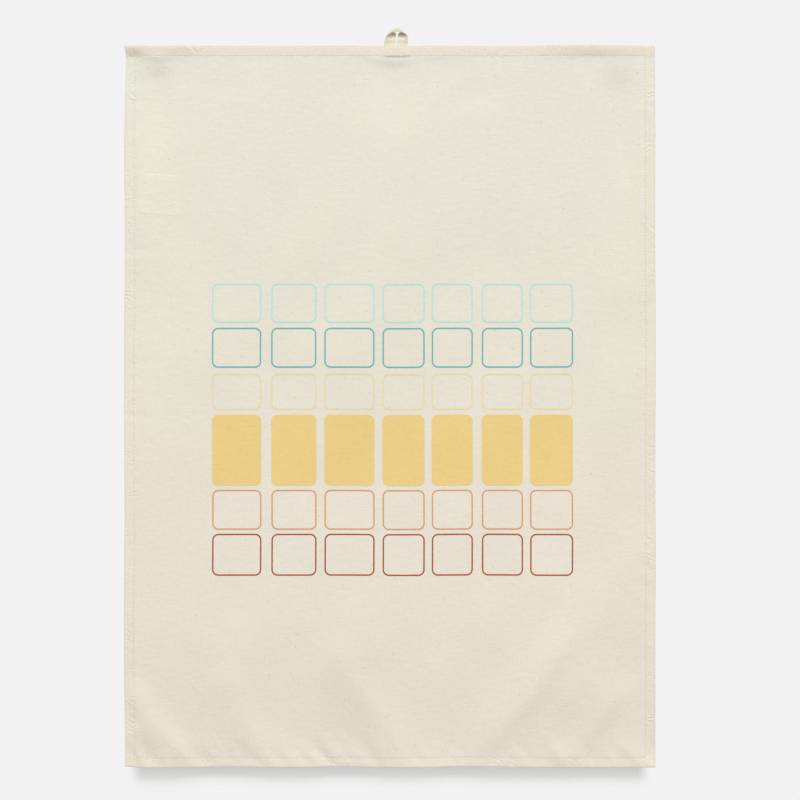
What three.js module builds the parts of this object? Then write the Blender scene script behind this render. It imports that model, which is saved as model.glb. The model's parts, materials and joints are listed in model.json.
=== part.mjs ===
// A cotton tea towel that hangs by a loop: one woven cloth with four double-turned hems, the needle
// and bobbin threads of their lockstitch seams, a twisted cotton tape sewn to the back of the top hem
// as the loop, and a care label sewn to the back of the left hem.
//
// Units are millimetres. X runs to the right as the printed front is seen, Z runs up and the front
// faces -Y. The origin is where a hook bears: the middle of the tape's underside at the loop's crest.
// The cloth is in two nodes, above and below the line where it folds in half, because they turn about
// that line. Layers that touch on the real towel are GAP apart here.

import * as THREE from 'three';

// Cloth and hems
const TOWEL_WIDTH = 510;
const TOWEL_LENGTH = 695;
const CLOTH_THICK = 0.5;
const HEM_THICK = 2 * CLOTH_THICK; // a double-turned hem lays two more layers on the cloth's back
const TOP_HEM = 11;
const SIDE_HEM = 11;
const BOTTOM_HEM = 11.5;
const FOLD_BELOW_TOP = 352.5; // 5 mm past the middle, so the folded end stops short of the top edge
const GAP = 0.3;

// Seams
const THREAD_THICK = 0.35;
const THREAD_WIDTH = 0.4;
const THREAD_GAP = 0.1;
const SEAM_INSET = 1.6; // from the hem's inner edge to its seam
const SEAM_END = 1.5; // from a seam's end to the towel's edge
const SEAM_STEP = 3; // one stitch, over which a seam climbs onto what it crosses

// Loop
const TAPE_WIDTH = 11;
const TAPE_THICK = 0.7;
const LOOP_RADIUS = 5.9; // of the tape's middle line over the crest, and of each leg from the middle
const LOOP_DROP = 14.9; // from the hanging point down to the towel's top edge
const LOOP_OFFSET = 6; // the loop stands this far to the right of the towel's middle
const LOOP_TWIST = THREE.MathUtils.degToRad(105); // of each leg, from the top edge to the crest
const LOOP_STEPS = 56;
const SWING_RISE = 2.4; // the towel swings about a line this far above its top edge
const SWING_ROOM = 1.8; // from that line up to the loop's legs
const TAPE_END_ROOM = 1.2; // and down to the sewn ends
const TAPE_END = 10.6; // how far the sewn ends reach down the back of the hem

// Care label
const LABEL_WIDTH = 42;
const LABEL_HEIGHT = 38.5;
const LABEL_THICK = 0.25;
const LABEL_BELOW_TOP = 123;
const LABEL_EDGE = 8; // width of the strip that is sewn to the hem
const LABEL_CREASE = 1; // from the sewn strip to the line where the label turns
const LABEL_ROOT = 0.6; // from that line to the free flap

const LEFT = -TOWEL_WIDTH / 2 - LOOP_OFFSET;
const RIGHT = LEFT + TOWEL_WIDTH;
const TOP = -LOOP_DROP;
const BOTTOM = TOP - TOWEL_LENGTH;
const FOLD = TOP - FOLD_BELOW_TOP;

// Depths of the layers, from the tape on the back to the threads on the front
const TAPE_Y = 0;
const HEM_BACK = TAPE_Y - TAPE_THICK / 2 - GAP;
const HEM_FRONT = HEM_BACK - HEM_THICK;
const CLOTH_BACK = HEM_FRONT - GAP;
const CLOTH_FRONT = CLOTH_BACK - CLOTH_THICK;
const NEEDLE_Y = CLOTH_FRONT - THREAD_GAP - THREAD_THICK / 2;
const BOBBIN_Y = HEM_BACK + THREAD_GAP + THREAD_THICK / 2;
const LABEL_Y = HEM_BACK + GAP + LABEL_THICK / 2;
const OVER_TAPE_Y = TAPE_Y + TAPE_THICK / 2 + THREAD_GAP + THREAD_THICK / 2;
const OVER_LABEL_Y = LABEL_Y + LABEL_THICK / 2 + THREAD_GAP + THREAD_THICK / 2;

const finishes = {
  cloth: { color: '#e8e2d2', roughness: 0.9 },
  hem: { color: '#e6dfcd', roughness: 0.9 },
  thread: { color: '#ece6d6', roughness: 0.75 },
  tape: { color: '#e9e2cd', roughness: 0.85 },
  label: { color: '#f4f3ee', roughness: 0.5 },
};

const towel = new THREE.Group();

function addPiece(name, geometry, finish) {
  const material = new THREE.MeshStandardMaterial({ ...finishes[finish], metalness: 0 });
  const mesh = new THREE.Mesh(geometry, material);
  mesh.name = name;
  towel.add(mesh);
}

// A flat rectangular layer between two opposite corners, with its broad faces in cells of about CELL.
const CELL = 60;

function layer(left, right, front, back, low, high) {
  const columns = Math.ceil((right - left) / CELL);
  const rows = Math.ceil((high - low) / CELL);
  const geometry = new THREE.BoxGeometry(right - left, back - front, high - low, columns, 1, rows);
  return geometry.translate((left + right) / 2, (front + back) / 2, (low + high) / 2);
}

// A thread laid along X. Its route is a list of [x, y], and it is square in section.
function threadAlongX(route, z) {
  const half = THREAD_THICK / 2;
  const outline = [
    ...route.map(([x, y]) => new THREE.Vector2(x, y - half)),
    ...route.toReversed().map(([x, y]) => new THREE.Vector2(x, y + half)),
  ];
  const extrusion = { depth: THREAD_WIDTH, bevelEnabled: false };
  return new THREE.ExtrudeGeometry(new THREE.Shape(outline), extrusion).translate(0, 0, z - THREAD_WIDTH / 2);
}

// The same along Z: its route is a list of [z, y].
function threadAlongZ(route, x) {
  return threadAlongX(route, 0).rotateY(-Math.PI / 2).translate(x, 0, 0);
}

// The route of a seam that steps from its own depth onto something sewn under it and down again.
function routeOver(start, end, depth, low, high, raised) {
  return [
    [start, depth],
    [low - SEAM_STEP, depth],
    [low, raised],
    [high, raised],
    [high + SEAM_STEP, depth],
    [end, depth],
  ];
}

function addCloth() {
  addPiece('upper_cloth', layer(LEFT, RIGHT, CLOTH_FRONT, CLOTH_BACK, FOLD + GAP, TOP), 'cloth');
  addPiece('lower_cloth', layer(LEFT, RIGHT, CLOTH_FRONT, CLOTH_BACK, BOTTOM, FOLD - GAP), 'cloth');
}

// The turned layers of the hems lie on the cloth's back. The side hems stop under the other two.
function addHems() {
  const hem = (name, left, right, low, high) =>
    addPiece(name, layer(left, right, HEM_FRONT, HEM_BACK, low, high), 'hem');
  hem('top_hem', LEFT, RIGHT, TOP - TOP_HEM, TOP);
  hem('bottom_hem', LEFT, RIGHT, BOTTOM, BOTTOM + BOTTOM_HEM);
  for (const [side, left] of [['left', LEFT], ['right', RIGHT - SIDE_HEM]]) {
    const right = left + SIDE_HEM;
    hem(`${side}_hem_upper`, left, right, FOLD + GAP, TOP - TOP_HEM - GAP);
    hem(`${side}_hem_lower`, left, right, BOTTOM + BOTTOM_HEM + GAP, FOLD - GAP);
  }
}

// Each hem is sewn with a lockstitch: the needle thread shows on the front and the bobbin thread on the
// back. The top seam's bobbin thread climbs over the loop's ends, and the left one's over the label.
function addSeams() {
  const topSeam = TOP - TOP_HEM + SEAM_INSET;
  const bottomSeam = BOTTOM + BOTTOM_HEM - SEAM_INSET;
  const from = LEFT + SEAM_END;
  const to = RIGHT - SEAM_END;
  const tapeReach = LOOP_RADIUS + TAPE_WIDTH / 2 + GAP;
  const overTape = routeOver(from, to, BOBBIN_Y, -tapeReach, tapeReach, OVER_TAPE_Y);
  addPiece('top_needle_thread', threadAlongX([[from, NEEDLE_Y], [to, NEEDLE_Y]], topSeam), 'thread');
  addPiece('top_bobbin_thread', threadAlongX(overTape, topSeam), 'thread');
  addPiece('bottom_needle_thread', threadAlongX([[from, NEEDLE_Y], [to, NEEDLE_Y]], bottomSeam), 'thread');
  addPiece('bottom_bobbin_thread', threadAlongX([[from, BOBBIN_Y], [to, BOBBIN_Y]], bottomSeam), 'thread');

  const clear = THREAD_WIDTH / 2 + GAP;
  const upper = [FOLD + GAP, topSeam - clear];
  const lower = [bottomSeam + clear, FOLD - GAP];
  const labelTop = TOP - LABEL_BELOW_TOP + GAP;
  const labelLow = TOP - LABEL_BELOW_TOP - LABEL_HEIGHT - GAP;
  const overLabel = routeOver(...upper, BOBBIN_Y, labelLow, labelTop, OVER_LABEL_Y);
  const straight = ([low, high], y) => [[low, y], [high, y]];
  for (const [side, x] of [['left', LEFT + SIDE_HEM - SEAM_INSET], ['right', RIGHT - SIDE_HEM + SEAM_INSET]]) {
    const back = side === 'left' ? overLabel : straight(upper, BOBBIN_Y);
    addPiece(`${side}_needle_thread_upper`, threadAlongZ(straight(upper, NEEDLE_Y), x), 'thread');
    addPiece(`${side}_needle_thread_lower`, threadAlongZ(straight(lower, NEEDLE_Y), x), 'thread');
    addPiece(`${side}_bobbin_thread_upper`, threadAlongZ(back, x), 'thread');
    addPiece(`${side}_bobbin_thread_lower`, threadAlongZ(straight(lower, BOBBIN_Y), x), 'thread');
  }
}

// The tape's middle line is two straight legs under a half circle. It lies flat against the hem at the
// top edge, and each leg twists evenly on its way up, its outer edge coming forward, until the tape
// lies across the hook at the crest with its front edge a little lower than its back edge.
const CREST = TAPE_THICK / 2 / Math.sin(LOOP_TWIST);
const ARC_LENGTH = LOOP_RADIUS * Math.PI / 2;
const HALF_LENGTH = ARC_LENGTH + CREST - LOOP_RADIUS - TOP;

// The four corners of the tape's section at a distance from the crest, negative on the left leg.
function tapeSection(distance) {
  const side = Math.sign(distance);
  const travelled = Math.abs(distance);
  const turn = Math.min(travelled, ARC_LENGTH) / LOOP_RADIUS;
  const leg = Math.max(travelled - ARC_LENGTH, 0);
  const outward = new THREE.Vector3(side * Math.sin(turn), 0, Math.cos(turn));
  const middle = outward.clone().multiplyScalar(LOOP_RADIUS);
  middle.add(new THREE.Vector3(0, TAPE_Y, CREST - LOOP_RADIUS - leg));
  const twist = LOOP_TWIST * (1 - travelled / HALF_LENGTH);
  const back = new THREE.Vector3(0, 1, 0);
  const across = outward.clone().multiplyScalar(Math.cos(twist)).addScaledVector(back, -Math.sin(twist));
  const through = outward.clone().multiplyScalar(Math.sin(twist)).addScaledVector(back, Math.cos(twist));
  return [[1, 1], [-1, 1], [-1, -1], [1, -1]].map(([edge, face]) =>
    middle.clone()
      .addScaledVector(across, edge * TAPE_WIDTH / 2)
      .addScaledVector(through, face * TAPE_THICK / 2));
}

// A closed solid through a row of four-cornered sections.
function loft(sections) {
  const corners = sections.flat();
  const triangles = [];
  const quad = (a, b, c, d) => triangles.push(a, b, c, a, c, d);
  for (let i = 0; i + 1 < sections.length; i++) {
    for (let j = 0; j < 4; j++) {
      const next = (j + 1) % 4;
      quad(4 * i + j, 4 * i + 4 + j, 4 * i + 4 + next, 4 * i + next);
    }
  }
  const last = corners.length - 4;
  quad(0, 1, 2, 3);
  quad(last + 3, last + 2, last + 1, last);
  const geometry = new THREE.BufferGeometry().setFromPoints(corners);
  geometry.setIndex(triangles);
  geometry.computeVertexNormals();
  return geometry;
}

function addLoop() {
  const reach = HALF_LENGTH - SWING_RISE - SWING_ROOM;
  const sections = [];
  for (let i = 0; i <= LOOP_STEPS; i++) {
    sections.push(tapeSection(reach * (2 * i / LOOP_STEPS - 1)));
  }
  addPiece('hanging_loop', loft(sections), 'tape');

  const low = TOP - TAPE_END;
  const high = TOP + SWING_RISE - TAPE_END_ROOM;
  for (const [side, middle] of [['left', -LOOP_RADIUS], ['right', LOOP_RADIUS]]) {
    const left = middle - TAPE_WIDTH / 2;
    const right = middle + TAPE_WIDTH / 2;
    const end = layer(left, right, TAPE_Y - TAPE_THICK / 2, TAPE_Y + TAPE_THICK / 2, low, high);
    addPiece(`loop_end_${side}`, end, 'tape');
  }
}

// The label turns about a vertical line at the hem's inner edge.
function addLabel() {
  const high = TOP - LABEL_BELOW_TOP;
  const low = high - LABEL_HEIGHT;
  const front = LABEL_Y - LABEL_THICK / 2;
  const back = LABEL_Y + LABEL_THICK / 2;
  const crease = LEFT + SIDE_HEM;
  const sewn = crease - LABEL_CREASE;
  const free = crease + LABEL_ROOT;
  addPiece('label_sewn_edge', layer(sewn - LABEL_EDGE, sewn, front, back, low, high), 'label');
  addPiece('care_label', layer(free, crease + LABEL_WIDTH, front, back, low, high), 'label');
}

addCloth();
addHems();
addSeams();
addLoop();
addLabel();

export default towel;
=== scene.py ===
"""A cotton tea towel that hangs by a tape loop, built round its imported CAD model.

Everything is in metres in the row frame: X to the right, Z up, and the printed front faces -Y. Small
sizes are in millimetres times MM. A point of the towel is first placed on the flat cloth, and hang()
then moves it with the cloth's waves, creases and puckers, so that hems, stitches, tape, label and
print all follow one surface.
"""

import json
import math

import bpy
import numpy as np
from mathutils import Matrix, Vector


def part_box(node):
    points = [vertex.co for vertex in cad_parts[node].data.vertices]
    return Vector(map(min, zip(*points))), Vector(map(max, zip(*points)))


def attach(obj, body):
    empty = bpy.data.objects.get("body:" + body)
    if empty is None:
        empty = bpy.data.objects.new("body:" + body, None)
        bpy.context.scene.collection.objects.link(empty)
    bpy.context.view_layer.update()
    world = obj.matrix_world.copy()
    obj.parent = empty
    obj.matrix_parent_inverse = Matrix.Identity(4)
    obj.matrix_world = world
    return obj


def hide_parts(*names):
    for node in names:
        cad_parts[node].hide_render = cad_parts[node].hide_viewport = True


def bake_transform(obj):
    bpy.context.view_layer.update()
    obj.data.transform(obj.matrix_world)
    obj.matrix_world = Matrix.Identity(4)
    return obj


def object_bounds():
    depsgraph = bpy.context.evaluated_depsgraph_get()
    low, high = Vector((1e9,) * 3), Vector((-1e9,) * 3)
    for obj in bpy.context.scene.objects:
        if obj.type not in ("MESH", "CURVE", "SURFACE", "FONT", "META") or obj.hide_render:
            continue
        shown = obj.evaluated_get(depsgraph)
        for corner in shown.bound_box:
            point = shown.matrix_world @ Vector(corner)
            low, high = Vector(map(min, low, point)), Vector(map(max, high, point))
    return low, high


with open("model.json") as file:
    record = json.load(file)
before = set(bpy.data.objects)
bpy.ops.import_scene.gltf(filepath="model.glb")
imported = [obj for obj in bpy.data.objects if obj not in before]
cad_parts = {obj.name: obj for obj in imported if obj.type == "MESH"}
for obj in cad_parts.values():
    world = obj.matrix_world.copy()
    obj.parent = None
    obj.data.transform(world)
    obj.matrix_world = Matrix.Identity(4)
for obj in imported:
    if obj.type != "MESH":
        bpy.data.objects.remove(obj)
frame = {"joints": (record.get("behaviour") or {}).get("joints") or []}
cad_low, cad_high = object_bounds()

MM = 0.001

# ---- Places and sizes that the CAD model gives ----

upper_low, upper_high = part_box("upper_cloth")
lower_low, lower_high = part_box("lower_cloth")
LEFT, RIGHT = upper_low.x, upper_high.x
TOP, BOTTOM = upper_high.z, lower_low.z
FRONT, BACK = upper_low.y, upper_high.y
WIDTH, LENGTH = RIGHT - LEFT, TOP - BOTTOM
FOLD = (upper_low.z + lower_high.z) / 2


def middle(node):
    """The middle of a CAD node's box."""
    low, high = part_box(node)
    return (low + high) / 2


def joint_place(name):
    """Where a joint of the record is."""
    return Vector([j for j in frame["joints"] if j["name"] == name][0]["pos_m"])


top_hem_low, top_hem_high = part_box("top_hem")
HEM_BACK = top_hem_high.y
TOP_HEM = TOP - top_hem_low.z
BOTTOM_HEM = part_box("bottom_hem")[1].z - BOTTOM
SIDE_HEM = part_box("left_hem_upper")[1].x - LEFT
TOP_SEAM = middle("top_needle_thread").z
BOTTOM_SEAM = middle("bottom_needle_thread").z
LEFT_SEAM = middle("left_needle_thread_upper").x
RIGHT_SEAM = middle("right_needle_thread_upper").x
SEAM_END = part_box("top_needle_thread")[0].x - LEFT

label_low, label_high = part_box("care_label")
sewn_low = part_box("label_sewn_edge")[0]
LABEL_Y = middle("care_label").y
LABEL_THICK = label_high.y - label_low.y
LABEL_CREASE = joint_place("label_flip").x
LABEL_TILT = 0.08  # how far its free end hangs down, as a slope

tape_low, tape_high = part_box("loop_end_left")
LEG = -middle("loop_end_left").x
TAPE_WIDTH = tape_high.x - tape_low.x
TAPE_THICK = tape_high.y - tape_low.y
TAPE_END = tape_low.z

# ---- Settings of the soft shapes ----

EDGE_ROUND = 0.9 * MM  # radius of the folded outer edges
COLUMN = 4.1 * MM  # usual spacing of the cloth's mesh
FOLD_ZONE = 12 * MM  # the grid's rows lie closer within 1.3 times this of the fold line, where the cloth bends
RELIEF = 1.2  # scales all the heights of the cloth's relief
STITCH = 3.0 * MM
STITCH_GAP = 0.45 * MM
STITCH_HALF_WIDTH = 0.21 * MM
STITCH_HALF_HEIGHT = 0.17 * MM
TAPE_SINK = 0.27 * MM  # the sewn tape and label press down on the hem by this much
INK_LIFT = 0.07 * MM
INK_THICK = 0.06 * MM
INK_FRONT = FRONT - INK_LIFT - INK_THICK
INK_BACK = FRONT - INK_LIFT


def ease(t):
    """A smooth step: 0 up to t = 0, and 1 from t = 1 on."""
    t = np.clip(t, 0, 1)
    return t * t * (3 - 2 * t)


def bell(distance, width):
    """A soft bump of height 1."""
    return np.exp(-((distance / width) ** 2))


def ripple(x, z, length, seed, count=7):
    """Smooth random waves of about that length and of about unit height."""
    rng = np.random.default_rng(seed)
    total = 0
    for _ in range(count):
        angle = rng.uniform(0, math.pi)
        k = 2 * math.pi / (length * rng.uniform(0.75, 1.5))
        total = total + np.sin(k * (x * math.cos(angle) + z * math.sin(angle)) + rng.uniform(0, 2 * math.pi))
    return total / math.sqrt(count)


# Each crease: its upper and lower end as shares of the towel's width and length from the top left corner,
# its height, and its half widths on the left and right in millimetres. A negative height is a valley.
CREASES = [
    (0.009, 0.890, 0.110, 0.990, 2.3, 13, 12),
    (0.180, 0.870, 0.262, 0.990, 1.3, 24, 13),
    (0.395, 0.830, 0.514, 0.990, 2.0, 22, 16),
    (1.000, 0.677, 0.665, 0.990, 0.6, 26, 14),
    (0.840, 0.820, 0.665, 0.990, 1.2, 20, 11),
    (0.958, 0.882, 0.835, 0.990, 0.9, 14, 8),
    (0.000, 0.282, 0.055, 0.284, -0.45, 3.0, 3.0),
    (0.000, 0.511, 0.050, 0.514, -0.5, 3.0, 3.0),
    (1.000, 0.358, 0.960, 0.360, -0.4, 3.0, 3.0),
    (0.120, 0.050, 0.220, 0.062, -0.2, 7.0, 7.0),
    (0.720, 0.055, 0.600, 0.085, -0.25, 9.0, 9.0),
]

# Stretches that face down a little: the middle and half width across, the start and end down, how far the
# cloth goes back there, and the length in which it comes forward again, in millimetres from that corner.
SAGS = [
    (7, 10, 0.5, 12, 2.7, 80),
    (52, 15, 0.5, 12, 0.9, 90),
    (30, 18, 11.5, 14.5, 0.7, 90),
    (31, 14, 13, 34, 2.6, 130),
    (450, 34, 1, 14, 1.4, 110),
    (474, 15, 14, 48, 2.8, 150),
    (240, 15, 10, 13, 0.3, 40),
    (298, 16, 10, 17, 0.5, 40),
    (255, 900, 545, 683, 3.0, 90),
    (80, 46, 595, 695, 3.2, 90),
    (212, 36, 580, 690, 3.4, 90),
    (320, 30, 600, 690, 2.0, 90),
    (435, 40, 615, 700, 2.4, 90),
    (10, 15, 655, 693, 2.6, 90),
]


def crease(x, z, ends, height, left_width, right_width):
    """One soft crease between two points, which dies away towards both ends."""
    start, end = np.array(ends[:2]), np.array(ends[2:])
    along = end - start
    length = np.linalg.norm(along)
    along = along / length
    t = ((x - start[0]) * along[0] + (z - start[1]) * along[1]) / length
    d = (x - start[0]) * along[1] - (z - start[1]) * along[0]
    d = d + 0.2 * min(left_width, right_width) * np.sin(t * 7.0 + start[0])
    inside = ease((t + 0.18) / 0.36) * ease((1.18 - t) / 0.36)
    return height * bell(d, np.where(d < 0, left_width, right_width)) * inside


def sag(across, down, at, spread, start, end, depth, recover):
    """One stretch that faces down."""
    fall = ease((down - start) / (end - start))
    return -depth * (fall - ease((down - end) / recover)) * bell(across - at, spread)


def puckers(along, off, seed, height, reach, length):
    """The small waves that a seam draws in a hem, off being the distance from the seam."""
    lean = along + 0.55 * off
    coarse = ripple(lean, 0 * lean, length, seed)
    fine = ripple(lean, 0.3 * off, length * 0.5, seed + 1)
    strength = 0.65 + 0.35 * ripple(along, 0 * along, length * 7, seed + 2)
    return height * (coarse + 0.45 * fine) * strength * bell(off, reach)


def relief(x, z):
    """How far the cloth stands forward of its CAD plane at a point of the flat towel, in metres."""
    across = (x - LEFT) / MM
    down = (TOP - z) / MM
    w, l = WIDTH / MM, LENGTH / MM
    loop_at = -LEFT / MM
    up = l - down
    # A broad billow that grows towards the foot, the creases and the sags.
    billow = (0.35 + 0.75 * down / l) * ripple(across, 0.55 * down, 235, 11)
    billow = billow + (0.10 + 0.22 * down / l) * ripple(across, down, 84, 12)
    rise = billow
    for x0, z0, x1, z1, *shape in CREASES:
        rise = rise + crease(across, down, (x0 * w, z0 * l, x1 * w, z1 * l), *shape)
    for stretch in SAGS:
        rise = rise + sag(across, down, *stretch)
    # The puckers of the seams. The bottom hem's lie mostly a little above its seam.
    seam = (TOP - TOP_SEAM) / MM
    rise = rise + puckers(across, down - seam, 21, 0.15, 9, 15)
    rise = rise + puckers(across, up - seam - 4, 24, 0.7, 13, 27)
    rise = rise + puckers(across, up - seam, 33, 0.3, 9, 14)
    rise = rise + puckers(down, across - seam, 27, 0.14, 7, 14)
    rise = rise + puckers(down, w - across - seam, 30, 0.14, 7, 14)
    # The tape, the label and the fold line keep the cloth flatter.
    near_loop = np.exp(-(((across - loop_at) / 34) ** 2) - (down / 24) ** 2)
    near_label = np.exp(-(((across - 26) / 34) ** 2) - ((down - 142) / 34) ** 2)
    near_fold = bell((z - FOLD) / MM, 38)
    rise = rise * (1 - near_loop) * (1 - 0.85 * near_label) * (1 - 0.35 * near_fold)
    # The loop's pull: arcs below it, a groove at the hem's edge, a sag, and the hem raised over the tape.
    arc = np.hypot((across - loop_at + 5) * 0.6, down + 5)
    under_loop = bell(across - loop_at + 3, 24) * ease((down - 10) / 3)
    for radius, height in ((19, 0.25), (25, -0.3), (33, 0.2)):
        rise = rise + height * bell(arc - radius, 3.0) * under_loop
    pull = ease((13.5 - np.abs(across - loop_at)) / 2.5)
    rise = rise - 0.67 * pull * (ease((down - 9.2) / 1.9) - ease((down - 11.5) / 12))
    rise = rise + sag(across, down, loop_at - 3, 19, 12, 26, 2.3, 100)
    over_tape = ease((13 - np.abs(across - loop_at)) / 3) * ease((10 - down) / 3)
    rise = rise + 0.15 * over_tape
    # The hems stand a little forward. The bottom corners curl, the left one forward and the right one back.
    rise = rise + 0.15 * ease(1 - down / 12) * (1 - near_loop)
    hem_edge = np.minimum(np.minimum(across, w - across), np.minimum(down, up))
    rise = rise - 0.12 * ease((hem_edge - 9.6) / 6)
    rise = rise + 1.5 * ease(1 - np.hypot(across, up) / 78)
    rise = rise - 1.3 * ease(1 - np.hypot(w - across, up) / 70)
    return RELIEF * rise * MM


# ---- The cloth's grid. Everything on the cloth follows the grid's own facets. ----


def grid_line(start, length, fine=()):
    """Places along one side: close together at the hems and in each fine stretch, COLUMN apart elsewhere."""
    near_edge = np.array([0, 0.12, 0.4, 0.9, 2.6, 4.9, 7.0, 8.5, 9.4, 10.3, 11.1, 12.4, 14.6]) * MM
    stops = [near_edge[-1], *[s - start for f in fine for s in f], length - near_edge[-1]]
    inner = []
    for k, (a, b) in enumerate(zip(stops, stops[1:])):
        spacing = COLUMN if k % 2 == 0 else 2.2 * MM
        places = np.linspace(a, b, max(2, round((b - a) / spacing)), endpoint=False)
        inner.extend(places[1:] if k == 0 else places)
    return start + np.concatenate([near_edge, inner, length - near_edge[::-1]])


grid_x = grid_line(LEFT, WIDTH)
grid_z = grid_line(BOTTOM, LENGTH, fine=[(FOLD - FOLD_ZONE * 1.3, FOLD + FOLD_ZONE * 1.3)])
flat_x, flat_z = np.meshgrid(grid_x, grid_z, indexing="ij")
grid_rise = relief(flat_x, flat_z)


def between(x, z, values):
    """The grid's values at any points, linear inside each cell."""
    i = np.clip(np.searchsorted(grid_x, x) - 1, 0, len(grid_x) - 2)
    j = np.clip(np.searchsorted(grid_z, z) - 1, 0, len(grid_z) - 2)
    s = np.clip((x - grid_x[i]) / (grid_x[i + 1] - grid_x[i]), 0, 1)
    t = np.clip((z - grid_z[j]) / (grid_z[j + 1] - grid_z[j]), 0, 1)
    low = values[i, j] * (1 - s) + values[i + 1, j] * s
    high = values[i, j + 1] * (1 - s) + values[i + 1, j + 1] * s
    return low * (1 - t) + high * t


def hang(points):
    """Moves points of the flat towel with the cloth. Above the top edge the movement dies away."""
    points = np.array(points, float)
    x, z = points[..., 0].copy(), points[..., 2].copy()
    still = ease(1 - (z - TOP) / (4 * MM))
    s, t = (x - LEFT) / WIDTH, (TOP - z) / LENGTH
    left_edge = 0.3 * ripple(z / MM, 0 * z, 150, 41) + 1.2 * ease(1 - t / 0.15) - 0.4
    right_edge = 0.3 * ripple(z / MM, 0 * z, 150, 42) + 0.9 * ease(t / 0.2)
    top_edge = (0.3 * ripple(x / MM, 0 * x, 130, 43) + 0.5) * (1 - bell(x, 30 * MM))
    bottom_edge = 0.3 * ripple(x / MM, 0 * x, 140, 44) + 1.3 * ease(1 - s / 0.035)
    points[..., 0] += MM * (left_edge * (1 - s) + right_edge * s) * ease(t * 60)
    points[..., 1] -= between(x, z, grid_rise) * still
    points[..., 2] += MM * (top_edge * (1 - t) + bottom_edge * t) * still
    return points


def dimple(x, z):
    """How deep the seams pull into the surface, in metres."""
    sides = np.maximum(bell((x - LEFT_SEAM) / MM, 0.95), bell((x - RIGHT_SEAM) / MM, 0.95))
    ends = np.maximum(bell((z - TOP_SEAM) / MM, 0.95), bell((z - BOTTOM_SEAM) / MM, 0.95))
    return MM * np.maximum(0.03 * sides, 0.06 * ends)


def edge_distance(x, z):
    """How far a point is from the towel's nearest edge."""
    return np.minimum(np.minimum(x - LEFT, RIGHT - x), np.minimum(TOP - z, z - BOTTOM))


def rounded_off(distance):
    """From 0 at the very edge to 1 where the edge's round ends."""
    t = np.clip(1 - distance / EDGE_ROUND, 0, 1)
    return np.sqrt(1 - t * t)


def corner_bulk(x, z):
    """1 where two hems lie over each other, with soft borders."""
    side = np.minimum(x - LEFT, RIGHT - x)
    end = np.where(z > FOLD, TOP - z, z - BOTTOM)
    depth = np.where(z > FOLD, TOP_HEM, BOTTOM_HEM)
    return ease((SIDE_HEM - side) / (1.5 * MM)) * ease((depth - end) / (1.5 * MM))


EDGE_MIDDLE = (FRONT + HEM_BACK) / 2
EDGE_HALF = (HEM_BACK - FRONT) / 2

# ---- Meshes ----


def add_piece(name, points, faces, uv, material, sharp=40):
    """A mesh from its points, its faces and each point's place on the flat material, in metres."""
    mesh = bpy.data.meshes.new(name)
    mesh.from_pydata(np.asarray(points).reshape(-1, 3).tolist(), [], faces)
    corners = np.zeros(len(mesh.loops), int)
    mesh.loops.foreach_get("vertex_index", corners)
    layer = mesh.uv_layers.new(name="flat")
    layer.data.foreach_set("uv", np.asarray(uv, float).reshape(-1, 2)[corners].ravel())
    mesh.shade_smooth()
    mesh.set_sharp_from_angle(angle=math.radians(sharp))
    mesh.materials.append(material)
    piece = bpy.data.objects.new(name, mesh)
    bpy.context.scene.collection.objects.link(piece)
    return piece


def thick_grid(front, back, start=0):
    """The faces of a closed slab from two grids of points, and the points in order. Front faces -Y."""
    columns, rows = front.shape[:2]
    layer = columns * rows
    number = start + np.arange(layer).reshape(columns, rows)
    a, b, c, d = number[:-1, :-1], number[1:, :-1], number[1:, 1:], number[:-1, 1:]
    faces = np.stack([a, b, c, d], -1).reshape(-1, 4)
    behind = np.stack([d, c, b, a], -1).reshape(-1, 4) + layer
    rim = np.concatenate([number[:, 0], number[-1, 1:], number[-2::-1, -1], number[0, -2:0:-1]])
    following = np.roll(rim, -1)
    sides = np.stack([rim + layer, following + layer, following, rim], -1)
    points = np.concatenate([front.reshape(-1, 3), back.reshape(-1, 3)])
    return points, np.concatenate([faces, behind, sides]).tolist()


def place(x, y, z):
    """Points from their coordinates, single values among them."""
    x, y, z = np.broadcast_arrays(x, y, z)
    return np.stack([x, y, z], -1).astype(float)


def on_cloth(x, z):
    """Places on the flat material, from the towel's lower left corner."""
    return np.stack([x - LEFT, z - BOTTOM], -1)


def slab_piece(name, x, z, front, back, material, sharp=40):
    """A closed layer over a grid of flat places x, z, between the depths front and back."""
    points, faces = thick_grid(hang(place(x, front, z)), hang(place(x, back, z)))
    uv = on_cloth(x, z).reshape(-1, 2)
    return add_piece(name, points, faces, np.concatenate([uv, uv]), material, sharp)


# ---- Materials ----


def srgb(red, green, blue):
    """A screen colour of 0 to 255 as linear light."""
    channels = [c / 255 for c in (red, green, blue)]
    return [c / 12.92 if c <= 0.04045 else ((c + 0.055) / 1.055) ** 2.4 for c in channels] + [1.0]


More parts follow.
